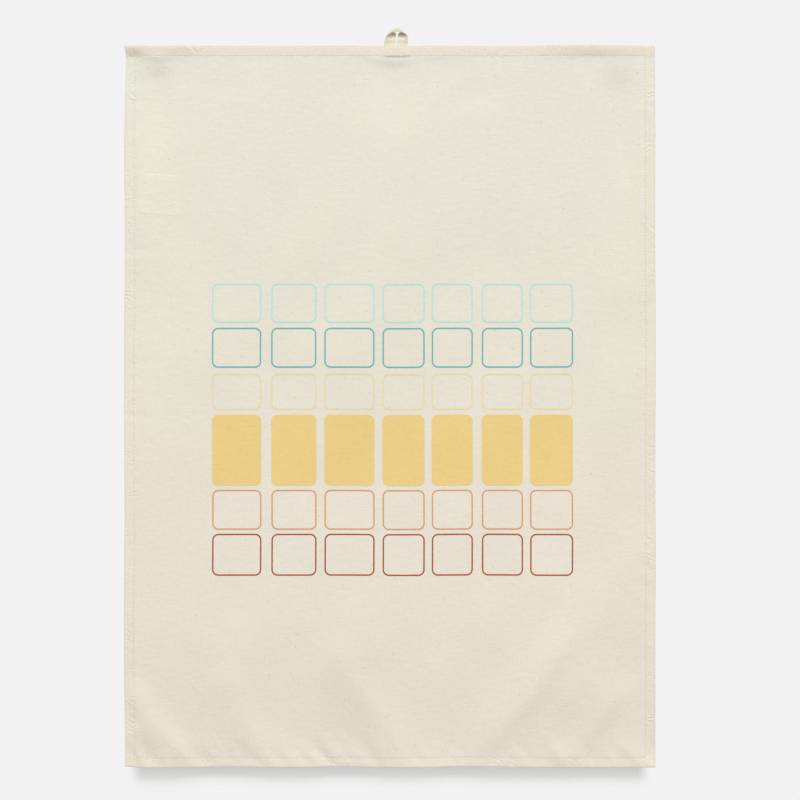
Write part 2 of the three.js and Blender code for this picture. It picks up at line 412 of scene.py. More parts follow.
class Shading:
    """A material with its Principled shader, and short ways to add nodes that read places on the flat."""

    def __init__(self, name, colour, roughness, **settings):
        self.material = bpy.data.materials.new(name)
        self.material.use_nodes = True
        self.tree = self.material.node_tree
        self.shader = self.tree.nodes["Principled BSDF"]
        self.shader.inputs["Base Color"].default_value = colour
        self.shader.inputs["Roughness"].default_value = roughness
        for socket, value in settings.items():
            self.shader.inputs[socket.replace("_", " ")].default_value = value
        self.flat = self.node("ShaderNodeUVMap", uv_map="flat").outputs[0]
        apart = self.node("ShaderNodeSeparateXYZ", {0: self.flat})
        self.u, self.v = apart.outputs[0], apart.outputs[1]

    def node(self, kind, inputs=None, **settings):
        made = self.tree.nodes.new(kind)
        for key, value in settings.items():
            setattr(made, key, value)
        for key, value in (inputs or {}).items():
            if isinstance(value, bpy.types.NodeSocket):
                self.tree.links.new(value, made.inputs[key])
            else:
                made.inputs[key].default_value = value
        return made

    def maths(self, operation, *values):
        inputs = dict(enumerate(values))
        return self.node("ShaderNodeMath", inputs, operation=operation).outputs[0]

    def ramp(self, value, start, end, low=0.0, high=1.0, smooth=True):
        """value from start to end becomes low to high."""
        kind = "SMOOTHSTEP" if smooth else "LINEAR"
        inputs = {"Value": value, "From Min": start, "From Max": end, "To Min": low, "To Max": high}
        return self.node("ShaderNodeMapRange", inputs, interpolation_type=kind).outputs[0]

    def noise(self, across, up, detail=2.0, offset=0.0):
        """Noise with that many waves to the metre across and up."""
        move = {"Vector": self.flat, "Location": (offset, offset, offset), "Scale": (across, up, 1)}
        moved = self.node("ShaderNodeMapping", move).outputs[0]
        inputs = {"Vector": moved, "Scale": 1.0, "Detail": detail, "Roughness": 0.55}
        return self.node("ShaderNodeTexNoise", inputs, noise_dimensions="2D").outputs[0]

    def mix(self, share, first, second, blend="MIX"):
        inputs = {0: share, 6: first, 7: second}
        return self.node("ShaderNodeMix", inputs, data_type="RGBA", blend_type=blend).outputs[2]

    def threads(self, pitch):
        """The height of a plain weave with that spacing of its threads."""
        sway = self.maths("MULTIPLY", self.noise(260, 260, 1, 3.0), 0.9 * pitch)
        k = math.pi / pitch
        u = self.maths("SINE", self.maths("MULTIPLY", self.maths("ADD", self.u, sway), k))
        v = self.maths("SINE", self.maths("MULTIPLY", self.maths("ADD", self.v, sway), k))
        return self.maths("MULTIPLY", u, v)

    def slubs(self):
        """Thicker and thinner lengths of thread, both ways: about 0.5 with soft streaks round it."""
        weft = self.noise(55, 1150, 2, 1.0)
        warp = self.noise(1150, 45, 2, 2.0)
        return self.maths("MULTIPLY", self.maths("ADD", weft, warp), 0.5)

    def roping(self):
        """The slanted puckers of the four hems, from -1 to 1, and 0 away from them."""
        right = self.maths("SUBTRACT", WIDTH, self.u)
        top = self.maths("SUBTRACT", LENGTH, self.v)
        near_end = self.maths("MINIMUM", self.v, top)
        near_side = self.maths("MINIMUM", self.u, right)
        at_end = self.ramp(near_end, SIDE_HEM - 1 * MM, SIDE_HEM + 4 * MM, 1.0, 0.0)
        at_side = self.ramp(near_side, SIDE_HEM - 1 * MM, SIDE_HEM + 3 * MM, 1.0, 0.0)
        sway = self.maths("MULTIPLY", self.noise(36, 36, 2, 11.0), 60 * MM)
        total = 0.0
        ends = (self.u, self.v, at_end, (26, 60))
        sides = (self.v, self.u, at_side, (60, 26))
        for along, off, hem, scale in (ends, sides):
            lean = self.maths("ADD", along, self.maths("MULTIPLY", off, 0.8))
            turn = self.maths("MULTIPLY", self.maths("ADD", lean, sway), 2 * math.pi / (8.5 * MM))
            strength = self.maths("MULTIPLY", hem, self.ramp(self.noise(*scale, 2, 12.0), 0.48, 0.72))
            total = self.maths("ADD", total, self.maths("MULTIPLY", self.maths("SINE", turn), strength))
        return total

    def bump(self, height, strength, distance, under=None):
        inputs = {"Strength": strength, "Distance": distance, "Height": height}
        if under is not None:
            inputs["Normal"] = under
        return self.node("ShaderNodeBump", inputs).outputs[0]

    def set(self, socket, value):
        self.tree.links.new(value, self.shader.inputs[socket])


def cotton(name, colour, lower=None, hem_tints=(), flecks=True, show_label=False, worn=0.0):
    """Undyed plain-weave cotton with slubs and seed flecks, or ink on it.

    lower is its colour at the towel's foot, and hem_tints are those of the top, bottom and side hems.
    """
    s = Shading(name, colour, 0.92, Sheen_Weight=0.12, Sheen_Roughness=0.5, Specular_IOR_Level=0.25)
    s.shader.inputs["Sheen Tint"].default_value = (1.0, 0.97, 0.9, 1)
    tone = colour
    if lower is not None:
        tone = s.mix(s.ramp(s.v, 0.25 * LENGTH, 0.9 * LENGTH), lower, colour)
    if hem_tints:
        right = s.maths("SUBTRACT", WIDTH, s.u)
        top = s.maths("SUBTRACT", LENGTH, s.v)
        for edge, tint in zip((top, s.v, s.maths("MINIMUM", s.u, right)), hem_tints):
            hem = s.ramp(edge, SIDE_HEM - 2 * MM, SIDE_HEM + 2 * MM, 1.0, 0.0)
            tone = s.mix(hem, tone, tint, "MULTIPLY")
        # The cloth's top 1.4 mm is painted darker: painted shade on the rounded top edge, which faces the
        # light from above.
        tone = s.mix(s.ramp(top, 0.2 * MM, 1.4 * MM, 1.0, 0.0), tone, (0.82, 0.81, 0.79, 1), "MULTIPLY")
    if show_label:
        tilt = s.maths("MULTIPLY", s.maths("SUBTRACT", s.u, SIDE_HEM), LABEL_TILT)
        height = s.maths("ADD", s.v, tilt)
        from_hem = s.ramp(s.u, 12 * MM, 13.5 * MM)
        to_end = s.ramp(s.u, 53 * MM, 54.5 * MM, 1.0, 0.0)
        patch = s.maths("MULTIPLY", from_hem, to_end)
        low, high = label_low.z - BOTTOM, label_high.z - BOTTOM
        patch = s.maths("MULTIPLY", patch, s.ramp(height, low, low + 1.6 * MM))
        patch = s.maths("MULTIPLY", patch, s.ramp(height, high, high + 1.6 * MM, 1.0, 0.0))
        tone = s.mix(patch, tone, (1.022, 1.018, 1.01, 1), "MULTIPLY")
    slubs = s.slubs()
    streaks = s.ramp(slubs, 0.3, 0.7, 0.97, 1.028, smooth=False)
    clouds = s.ramp(s.noise(9, 7, 3, 5.0), 0.3, 0.7, 0.988, 1.012, smooth=False)
    uneven = s.maths("MULTIPLY", streaks, clouds)
    grain = s.node("ShaderNodeCombineColor", {0: uneven, 1: uneven, 2: uneven}).outputs[0]
    tone = s.mix(1.0, tone, grain, "MULTIPLY")
    if flecks:
        for per_metre, size, share, dark in ((42, 0.034, 0.62, 0.42), (95, 0.055, 0.78, 0.2)):
            spots = {"Vector": s.flat, "Scale": float(per_metre), "Randomness": 1.0}
            cells = s.node("ShaderNodeTexVoronoi", spots, voronoi_dimensions="2D")
            near = s.ramp(cells.outputs["Distance"], size * 0.4, size, dark, 0.0)
            drawn = s.node("ShaderNodeSeparateColor", {0: cells.outputs["Color"]}).outputs[0]
            chosen = s.maths("GREATER_THAN", drawn, share)
            tone = s.mix(s.maths("MULTIPLY", near, chosen), tone, srgb(150, 128, 92))
    if worn:
        thin = s.ramp(s.noise(700, 700, 2, 7.0), 0.52, 0.75, 0.0, worn)
        tone = s.mix(thin, tone, srgb(209, 205, 190))
    s.set("Base Color", tone)
    cloth = s.bump(s.threads(0.62 * MM), 0.35, 0.12 * MM)
    cloth = s.bump(slubs, 0.35, 0.5 * MM, cloth)
    cloth = s.bump(s.noise(160, 160, 3, 9.0), 0.25, 1.2 * MM, cloth)
    if show_label:
        cloth = s.bump(patch, 0.6, 0.25 * MM, cloth)
    s.set("Normal", s.bump(s.roping(), 0.45, 0.3 * MM, cloth))
    return s.material


CLOTH_COLOUR = srgb(207.9, 205.4, 192.2)
# Cloth and hem fade to a warmer colour towards the foot: painted warm shade of the lower part.
LOWER_COLOUR = srgb(211.6, 204.7, 190.5)
# The hem tints are partly the folded layers' own tone and partly painted: the top hem's warmth is painted
# warm shade.
HEM_TINTS = [(1.01, 0.968, 0.94, 1), (1.025, 1.02, 1.005, 1), (1.01, 1.0, 0.985, 1)]

cloth_material = cotton("undyed_cotton", CLOTH_COLOUR, LOWER_COLOUR, HEM_TINTS, show_label=True)
hem_material = cotton("undyed_cotton_hem", srgb(209, 204.5, 189), srgb(209, 202, 186))

INKS = {
    "print_aqua": cotton("ink_aqua", srgb(157, 210, 203), flecks=False, worn=0.25),
    "print_teal": cotton("ink_teal", srgb(79, 166, 164), flecks=False, worn=0.15),
    "print_pale_yellow": cotton("ink_pale_yellow", srgb(213, 200, 154), flecks=False, worn=0.25),
    "print_yellow": cotton("ink_yellow", srgb(214, 187.5, 120.5), flecks=False, worn=0.1),
    "print_orange": cotton("ink_orange", srgb(199, 143, 101), flecks=False, worn=0.2),
    "print_red": cotton("ink_red", srgb(157, 66, 40), flecks=False, worn=0.15),
}


def thread_material():
    """Two-ply cotton thread."""
    s = Shading("cotton_thread", srgb(214, 208, 192), 0.7, Sheen_Weight=0.2, Sheen_Roughness=0.4)
    ply = s.maths("SINE", s.maths("MULTIPLY", s.maths("ADD", s.u, s.maths("MULTIPLY", s.v, 1.6)), 9000))
    s.set("Base Color", s.mix(s.ramp(ply, -1, 1), srgb(204, 196, 178), srgb(220, 215, 200)))
    s.set("Normal", s.bump(ply, 0.6, 0.05 * MM))
    return s.material


def tape_material():
    """A narrow woven tape: chevron twill, a firm selvedge at each edge, and painted shade at the crest.

    u runs along it from the crest and v across it. The inner face lies two widths beside the outer one.
    """
    s = Shading("cotton_tape", srgb(224, 217, 200), 0.85, Sheen_Weight=0.1, Sheen_Roughness=0.5)
    inner = s.maths("GREATER_THAN", s.v, TAPE_WIDTH)
    across = s.maths("SUBTRACT", s.v, s.maths("MULTIPLY", inner, 2 * TAPE_WIDTH))
    off = s.maths("ABSOLUTE", across)
    chevron = s.maths("PINGPONG", across, 1.8 * MM)
    ribs = s.maths("SINE", s.maths("MULTIPLY", s.maths("ADD", s.u, chevron), 2 * math.pi / (0.8 * MM)))
    selvedge = s.ramp(off, TAPE_WIDTH / 2 - 0.9 * MM, TAPE_WIDTH / 2 - 0.5 * MM)
    fibres = s.noise(2400, 500, 2, 4.0)
    tone = s.mix(s.ramp(ribs, -1, 1), srgb(221, 211, 191), srgb(235, 228, 213))
    tone = s.mix(s.maths("MULTIPLY", selvedge, 0.6), tone, srgb(229, 221, 199))
    tone = s.mix(s.ramp(fibres, 0.35, 0.7, 0.0, 0.25), tone, srgb(200, 188, 160))
    # At the crest the colour is painted shade: darker on the outer face, which faces the light from above,
    # and a warm darker tone on the inner face for the shaded hollows under the crest.
    crest_painted_shade = s.ramp(s.maths("ABSOLUTE", s.u), 4 * MM, 11 * MM, 1.0, 0.0)
    crest_shade_tint = s.mix(inner, (0.66, 0.71, 0.69, 1), (1.0, 0.92, 0.73, 1))
    s.set("Base Color", s.mix(crest_painted_shade, tone, crest_shade_tint, "MULTIPLY"))
    under = s.bump(ribs, 0.45, 0.12 * MM)
    s.set("Normal", s.bump(fibres, 0.3, 0.15 * MM, under))
    return s.material


def label_material():
    """White satin ribbon: fine ribs across and a soft shine along it."""
    s = Shading("white_satin", srgb(218, 217, 212), 0.42, Sheen_Weight=0.1, Anisotropic=0.5)
    ribs = s.maths("SINE", s.maths("MULTIPLY", s.v, 2 * math.pi / (0.45 * MM)))
    floats = s.noise(350, 3200, 2, 6.0)
    tone = s.mix(s.ramp(floats, 0.3, 0.7, 0.0, 0.5), srgb(223, 222, 217), srgb(209, 208, 201))
    s.set("Base Color", tone)
    s.set("Roughness", s.ramp(floats, 0.3, 0.7, 0.36, 0.5))
    under = s.bump(ribs, 0.25, 0.05 * MM)
    s.set("Normal", s.bump(s.noise(120, 60, 2, 8.0), 0.3, 0.6 * MM, under))
    return s.material


stitch_material = thread_material()
loop_material = tape_material()
ribbon_material = label_material()

# ---- The cloth ----

edge = edge_distance(flat_x, flat_z)
bulk = corner_bulk(flat_x, flat_z)
dent = dimple(flat_x, flat_z)
front_depth = EDGE_MIDDLE - EDGE_HALF * rounded_off(edge) + dent - 0.22 * MM * bulk * rounded_off(edge)
back_depth = np.where(edge < EDGE_ROUND, np.minimum(EDGE_MIDDLE, front_depth + 0.42 * MM), BACK)
front_depth = np.minimum(front_depth, back_depth - 0.07 * MM)
cloth = slab_piece("towel_cloth", flat_x, flat_z, front_depth, back_depth, cloth_material, 75)
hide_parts("upper_cloth", "lower_cloth")

# ---- The hems: the turned layers on the cloth's back ----

HEM_STEPS = np.array([0, 0.12, 0.4, 0.9, 2.6, 4.9, 7.0, 8.5, 9.4, 10.1]) * MM
INNER_STEPS = np.array([0.5, 0.2, 0.05, 0.0]) * MM  # before the inner edge, which is a fold as well


def hem_piece(name, x, z, inner):
    """A hem's turned layers over a grid of flat places. inner is how far each is from its inner edge."""
    out = edge_distance(x, z)
    fold = np.sqrt(np.clip(1 - np.clip(1 - inner / (0.5 * MM), 0, 1) ** 2, 0, 1))
    back = EDGE_MIDDLE + 0.02 * MM + EDGE_HALF * rounded_off(out) * (0.25 + 0.75 * fold)
    back = back + 0.75 * MM * corner_bulk(x, z) * rounded_off(out) - dimple(x, z)
    front = np.where(out < EDGE_ROUND, EDGE_MIDDLE + 0.01 * MM, BACK + 0.02 * MM)
    back = np.maximum(back, front + 0.06 * MM)
    return slab_piece(name, x, z, front, back, hem_material, 75)


def end_hem(name, depth, edge_z, towards):
    """The top or the bottom hem, over the towel's whole width."""
    rows = np.concatenate([HEM_STEPS, depth - INNER_STEPS])
    places = edge_z + towards * rows
    order = np.argsort(places)
    x, z = np.meshgrid(grid_x, places[order], indexing="ij")
    inner = np.broadcast_to((depth - rows)[order], x.shape)
    return hem_piece(name, x, z, inner)


def side_hem(name, edge_x, towards):
    """The left or the right hem, between the end hems."""
    columns = np.concatenate([HEM_STEPS, SIDE_HEM - INNER_STEPS])
    places = edge_x + towards * columns
    order = np.argsort(places)
    low, high = BOTTOM + BOTTOM_HEM + 0.05 * MM, TOP - TOP_HEM - 0.05 * MM
    rows = np.concatenate([[low], grid_z[(grid_z > low + MM) & (grid_z < high - MM)], [high]])
    x, z = np.meshgrid(places[order], rows, indexing="ij")
    inner = np.broadcast_to((SIDE_HEM - columns)[order][:, None], x.shape)
    return hem_piece(name, x, z, inner)


hem_top = end_hem("hem_top", TOP_HEM, TOP, -1)
hem_bottom = end_hem("hem_bottom", BOTTOM_HEM, BOTTOM, 1)
hem_left = side_hem("hem_left", LEFT, 1)
hem_right = side_hem("hem_right", RIGHT, -1)
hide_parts("top_hem")
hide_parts("bottom_hem")
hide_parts("left_hem_upper", "left_hem_lower")
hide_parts("right_hem_upper", "right_hem_lower")

# ---- The loop: one tape, from its left sewn end over the crest to its right one ----

# The right half from the crest to the towel's top edge: the tape's edge that is in front at the crest and
# outside below, then the other edge. x is a share of the loop's half width, y of half the tape's width, and
# z of the loop's height.
TAPE_EDGES = [
    [(0, -0.93, -0.10), (0, 0.85, 0.17)],
    [(0.28, -0.93, -0.11), (0.20, 0.90, 0.15)],
    [(0.56, -0.89, -0.17), (0.38, 0.93, 0.09)],
    [(0.79, -0.82, -0.27), (0.40, 0.88, -0.02)],
    [(0.90, -0.67, -0.39), (0.16, 0.55, -0.12)],
    [(0.96, -0.49, -0.52), (0.09, 0.08, -0.26)],
    [(0.98, -0.27, -0.68), (0.08, -0.22, -0.51)],
    [(1, -0.07, -0.86), (0.05, -0.09, -0.76)],
    [(1, 0, -1), (0.04, 0, -1)],
]
TAPE_LEAN = 1.3 * MM  # how far the crest leans to the right
# Its rounded cross section, as shares of half its width and half its thickness.
TAPE_SECTION = [(-1, 0), (-0.985, 0.75), (-0.9, 1), (-0.45, 0.9)]
TAPE_SECTION += [(0, 0.88), (0.45, 0.9), (0.9, 1), (0.985, 0.75)]
TAPE_SECTION += [(-e, -f) for e, f in TAPE_SECTION]


def tape_line(steps):
    """The two edges along the right half: a smooth line through TAPE_EDGES, then straight to the end."""
    rows = np.array(TAPE_EDGES) * [LEG + TAPE_WIDTH / 2, TAPE_WIDTH / 2, -TOP]
    before = rows[1:2] * [-1, 1, 1]
    after = rows[-1:] + [0, 0, rows[-1, 0, 2] - rows[-2, 0, 2]]
    rows = np.concatenate([before, rows, after])
    line = []
    for k in np.linspace(1, len(rows) - 2, steps, endpoint=False):
        i = int(k)
        t = k - i
        a, b, c, d = rows[i - 1:i + 3]
        line.append(b + 0.5 * t * (c - a + t * (2 * a - 5 * b + 4 * c - d + t * (3 * b - a - 3 * c + d))))
    for share in np.linspace(0, 1, 14):
        lower = rows[-2] + [0, 0, (TAPE_END - TOP) * share]
        line.append(lower - [0, TAPE_SINK * float(ease(share * 4)), 0])
    return np.array(line)


def tape_piece(name, steps):
    """The whole tape, its cross section drawn along both halves."""
    half = tape_line(steps)
    edges = np.concatenate([half[:0:-1] * [-1, 1, 1], half])
    edges[:, :, 0] += TAPE_LEAN * ease((edges[:, :, 2] - TOP) / -TOP)
    centres = edges.mean(1)
    along = np.gradient(centres, axis=0)
    across = edges[:, 0] - edges[:, 1]
    through = np.cross(across, along)
    through = through / np.linalg.norm(through, axis=1)[:, None]
    steps_along = np.linalg.norm(np.diff(centres, axis=0), axis=1)
    distance = np.concatenate([[0], np.cumsum(steps_along)])
    e, f = np.array(TAPE_SECTION).T
    to_edge = across[:, None] / 2 * e[:, None]
    to_face = through[:, None] * TAPE_THICK / 2 * f[:, None]
    points = centres[:, None] + to_edge + to_face
    distance = distance - distance[-1] / 2
    over = e * TAPE_WIDTH / 2 + np.where(f < 0, 2 * TAPE_WIDTH, 0)
    uv = np.stack(np.broadcast_arrays(distance[:, None], over), -1)
    n, rings = len(TAPE_SECTION), len(points)
    faces = []
    for i in range(rings - 1):
        for j in range(n):
            k = (j + 1) % n
            faces.append((n * i + j, n * i + n + j, n * i + n + k, n * i + k))
    faces.append(tuple(range(n)))
    faces.append(tuple(n * (rings - 1) + j for j in reversed(range(n))))
    return add_piece(name, hang(points.reshape(-1, 3)), faces, uv, loop_material, 55)


loop_tape = tape_piece("loop_tape", 64)
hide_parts("hanging_loop", "loop_end_left", "loop_end_right")

# ---- The care label: a blank satin ribbon, sewn at its left edge ----

LABEL_FREE = label_high.x - LABEL_CREASE
LABEL_HEIGHT = label_high.z - label_low.z


def label_depth(x):
    """How the ribbon's middle lies: on the hem, down onto the cloth, then a little away at its end."""
    off = (x - LABEL_CREASE) / LABEL_FREE
    pressed = LABEL_Y - TAPE_SINK
    drop = 0.85 * MM * ease(off / 0.22)
    curl = 0.9 * MM * ease((off - 0.5) / 0.5)
    return pressed - drop + curl + 0.12 * MM * np.sin(off * 9)


columns = np.concatenate([
    np.linspace(sewn_low.x, LABEL_CREASE - 1.3 * MM, 5),
    np.linspace(LABEL_CREASE - 0.9 * MM, LABEL_CREASE + 0.9 * MM, 7),
    np.linspace(LABEL_CREASE + 2.2 * MM, label_high.x - 0.7 * MM, 24),
    [label_high.x - 0.3 * MM, label_high.x],
])
row_shares = [0, 0.008, 0.03, *np.linspace(0.08, 0.92, 14), 0.97, 0.992, 1]
rows = label_low.z + LABEL_HEIGHT * np.array(row_shares)
label_x, label_z = np.meshgrid(columns, rows, indexing="ij")
share = (label_z - label_low.z) / LABEL_HEIGHT
rim = np.minimum(np.minimum(share, 1 - share) * LABEL_HEIGHT, label_high.x - label_x)
half_thick = LABEL_THICK / 2 * (0.35 + 0.65 * ease(rim / (0.4 * MM)))
wave = 0.22 * MM * np.sin(share * 5 + 1) * ease((label_x - LABEL_CREASE) / LABEL_FREE)
depth = label_depth(label_x) + wave
tilted_z = label_z - LABEL_TILT * np.clip(label_x - LABEL_CREASE, 0, None)
ribbon_front, ribbon_back = depth - half_thick, depth + half_thick
label = slab_piece("label_ribbon", label_x, tilted_z, ribbon_front, ribbon_back, ribbon_material, 75)
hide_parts("care_label", "label_sewn_edge")

# ---- The seams: single stitches, of the needle thread in front and the bobbin thread behind ----

# One stitch from end to end: shares of its half length, and how thick it is there.
STITCH_RINGS = [(-1, 0), (-0.62, 0.85), (0, 1), (0.62, 0.85), (1, 0)]


def stitch_piece(name, start, end, depth, forward, seed):
    """A row of stitches between two flat points. depth(x, z) is the surface, and forward is -1 in front."""
    rng = np.random.default_rng(seed)
    start, end = np.array(start), np.array(end)
    length = np.linalg.norm(end - start)
    along = (end - start) / length
    side = np.array([along[1], -along[0]])
    count = round(length / STITCH)
    pitch = length / count
    points, faces, uv = [], [], []
    for i in range(count):
        centre = start + along * pitch * (i + 0.5 + rng.uniform(-0.03, 0.03))
        lean = rng.uniform(-0.05, 0.05)
        half = (pitch - STITCH_GAP) / 2 * rng.uniform(0.94, 1.04)
        first = len(points)
        for t, swell in STITCH_RINGS:
            x, z = centre + along * half * t + side * lean * half * t
            surface = float(depth(np.array(x), np.array(z)))
            y = surface + forward * MM * (0.05 + 0.12 * swell - (0.2 if swell == 0 else 0))
            if swell == 0:
                points.append((x, y, z))
                uv.append((half * t, 0))
                continue
            for a in (0, 1, 2, 3):
                c, d = math.cos(a * math.pi / 2), math.sin(a * math.pi / 2)
                off = side * c * STITCH_HALF_WIDTH * swell
                points.append((x + off[0], y + d * STITCH_HALF_HEIGHT * swell, z + off[1]))
                uv.append((half * t, a * 0.3 * MM))
        for a in range(4):
            b = (a + 1) % 4
            faces.append((first, first + 1 + b, first + 1 + a))
            for ring in (1, 5):
                faces.append((first + ring + a, first + ring + b, first + ring + 4 + b, first + ring + 4 + a))
            faces.append((first + 13, first + 9 + a, first + 9 + b))
    return add_piece(name, hang(np.array(points)), faces, np.array(uv), stitch_material, 80)


def front_surface(x, z):
    """The cloth's front."""
    return FRONT + dimple(x, z)


def back_surface(x, z):
    """The hem's back, or the tape's or label's back where one lies on it."""
    hem = HEM_BACK - dimple(x, z)
    off = np.abs(np.abs(x) - LEG) / MM
    tape = ease((TAPE_WIDTH / MM / 2 + 1.2 - off) / 1.6) * ease((TOP - TAPE_END + 1 * MM - (TOP - z)) / MM)
    tape = tape * ease((z - TOP + 20 * MM) / MM)
    above = ease((z - label_low.z + 1.2 * MM) / (1.6 * MM))
    below = ease((label_high.z + 1.2 * MM - z) / (1.6 * MM))
    ribbon = above * below * ease((LABEL_CREASE - x) / MM)
    over_tape = (TAPE_THICK / 2 - TAPE_SINK) - hem
    over_ribbon = (LABEL_Y - TAPE_SINK + LABEL_THICK / 2) - hem
    return hem + tape * over_tape + ribbon * over_ribbon


seam_low, seam_high = BOTTOM_SEAM + 0.5 * MM, TOP_SEAM - 0.5 * MM
SEAMS = {
    "top": ((LEFT + SEAM_END, TOP_SEAM), (RIGHT - SEAM_END, TOP_SEAM), [""]),
    "bottom": ((LEFT + SEAM_END, BOTTOM_SEAM), (RIGHT - SEAM_END, BOTTOM_SEAM), [""]),
    "left": ((LEFT_SEAM, seam_low), (LEFT_SEAM, seam_high), ["_upper", "_lower"]),
    "right": ((RIGHT_SEAM, seam_low), (RIGHT_SEAM, seam_high), ["_upper", "_lower"]),
}
stitches = {}
for number, (place_name, (start, end, parts)) in enumerate(SEAMS.items()):
    for thread, surface, forward in (("needle", front_surface, -1), ("bobbin", back_surface, 1)):
        name = f"{thread}_stitches_{place_name}"
        piece = stitch_piece(name, start, end, surface, forward, 60 + number)
        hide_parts(*[f"{place_name}_{thread}_thread{part}" for part in parts])
        stitches[name] = piece

# ---- The print: six rows of plain rounded tiles ----

# Each tile's left and right side, in millimetres from the top left corner. For each row its top and bottom,
# its ink and the width of its lines, which is None where the tiles are solid.
TILE_SIDES = [(84.2, 131.4), (141.0, 184.3), (192.0, 240.1), (247.8, 288.2)]
TILE_SIDES += [(295.0, 334.4), (343.1, 382.5), (389.3, 430.6)]
TILE_ROWS = [
    ("print_row_1", 229.0, 266.6, "print_aqua", 1.25),
    ("print_row_2", 271.4, 309.9, "print_teal", 1.3),
    ("print_row_3", 315.6, 350.3, "print_pale_yellow", 1.25),
    ("print_row_4", 355.1, 423.4, "print_yellow", None),
    ("print_row_5", 427.3, 465.8, "print_orange", 1.3),
    ("print_row_6", 469.6, 510.0, "print_red", 1.35),
]
TILE_CORNER = 6.0


def tile_outline(left, right, low, high, radius):
    """Points round a rounded tile, in order. Outlines of one tile at other radii have matching points."""
    corners = [(right - radius, low + radius, -90), (right - radius, high - radius, 0)]
    corners += [(left + radius, high - radius, 90), (left + radius, low + radius, 180)]
    points = []
    for n, (x, z, turn) in enumerate(corners):
        for step in range(9):
            angle = math.radians(turn + 90 * step / 8)
            points.append((x + radius * math.cos(angle), z + radius * math.sin(angle)))
        after = corners[(n + 1) % 4]
        angle = math.radians(after[2])
        arrive = (after[0] + radius * math.cos(angle), after[1] + radius * math.sin(angle))
        leave = points[-1]
        for step in range(1, 12):
            t = step / 12
            points.append((leave[0] + (arrive[0] - leave[0]) * t, leave[1] + (arrive[1] - leave[1]) * t))
    return np.array(points)


def tile_ring(left, right, low, high, line):
    """An outlined tile as a closed band of ink: its points and faces."""
    outer = tile_outline(left, right, low, high, TILE_CORNER * MM)
    inner = tile_outline(left + line, right - line, low + line, high - line, TILE_CORNER * MM - line)
    n = len(outer)
    corners = ((outer, INK_FRONT), (inner, INK_FRONT), (inner, INK_BACK), (outer, INK_BACK))
    loops = [place(outline[:, 0], y, outline[:, 1]) for outline, y in corners]
    faces = []
    for k in range(4):
        for i in range(n):
            j = (i + 1) % n
            m = (k + 1) % 4
            faces.append((k * n + i, k * n + j, m * n + j, m * n + i))
    return np.concatenate(loops), faces


def tile_fill(left, right, low, high):
    """A solid tile as a thin slab of ink."""
    radius = TILE_CORNER * MM
    bend = radius * (1 - np.cos(np.linspace(0, math.pi / 2, 7)))
    between_bends = np.linspace(low + radius, high - radius, 16)[1:-1]
    heights = np.concatenate([low + bend, between_bends, (high - bend)[::-1]])
    reach = np.clip(np.minimum(heights - low, high - heights) / radius, 0, 1)
    pull = radius * (1 - np.sqrt(1 - (1 - reach) ** 2))
    shares = np.linspace(0, 1, 13)[:, None]
    x = (left + pull) * (1 - shares) + (right - pull) * shares
    z = np.broadcast_to(heights, x.shape)
    return thick_grid(place(x, INK_FRONT, z), place(x, INK_BACK, z))


prints = {}
for name, row_top, row_bottom, ink, line in TILE_ROWS:
    points, faces = [], []
    for left, right in TILE_SIDES:
        box = (LEFT + left * MM, LEFT + right * MM, TOP - row_bottom * MM, TOP - row_top * MM)
        made = tile_fill(*box) if line is None else tile_ring(*box, line * MM)
        start = sum(len(p) for p in points)
        points.append(made[0])
        faces.extend([tuple(start + i for i in face) for face in made[1]])
    points = np.concatenate(points)
    uv = on_cloth(points[:, 0], points[:, 2])
    prints[name] = add_piece(name, hang(points), faces, uv, INKS[ink], 60)

# ---- What each piece moves with ----

above_fold = [hem_top, stitches["needle_stitches_top"], stitches["bobbin_stitches_top"]]
above_fold += [prints["print_row_1"], prints["print_row_2"]]
for piece in above_fold:
    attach(piece, "upper_towel")
below_fold = [hem_bottom, stitches["needle_stitches_bottom"], stitches["bobbin_stitches_bottom"]]
below_fold += [prints["print_row_5"], prints["print_row_6"]]
for piece in below_fold:
    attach(piece, "lower_towel")
folding = [cloth, hem_left, hem_right, prints["print_row_3"], prints["print_row_4"]]
for thread in ("needle", "bobbin"):
    folding += [stitches[f"{thread}_stitches_{side}"] for side in ("left", "right")]
for piece in folding:
    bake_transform(piece)
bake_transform(loop_tape)
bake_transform(label)

# ---- Camera ----

CAMERA_AWAY = 3.0
SENSOR = 36
VIEW_WIDTH = 0.7698  # what the picture covers at the towel
LOOP_SIDE, LOOP_DOWN = 9.9 * MM, 1.7 * MM  # the picture's middle from the towel's

camera = bpy.data.objects.new("camera", bpy.data.cameras.new("camera"))
bpy.context.scene.collection.objects.link(camera)
camera.data.sensor_width = SENSOR
camera.data.lens = SENSOR * CAMERA_AWAY / VIEW_WIDTH
camera.data.clip_start, camera.data.clip_end = 0.1, 50
aim = (cad_low + cad_high) / 2
camera.location = (aim.x + LOOP_SIDE, FRONT - CAMERA_AWAY, aim.z - LOOP_DOWN)
camera.rotation_euler = (math.pi / 2, 0, 0)
bpy.context.scene.camera = camera

# ---- Light, floor, and the wall that takes the faint shadow below the towel ----

PAPER = 0.888  # linear brightness of the plain background
AMBIENT = 0.60  # what the surroundings give the towel, a little warm
FLOOR_DROP = 0.35
FLOOR_RADIUS = 2.3
LIGHT_AWAY = 7.0
LIGHT_SIZE = 4.0
LIGHT_COLOUR = (1, 1.012, 1.035)

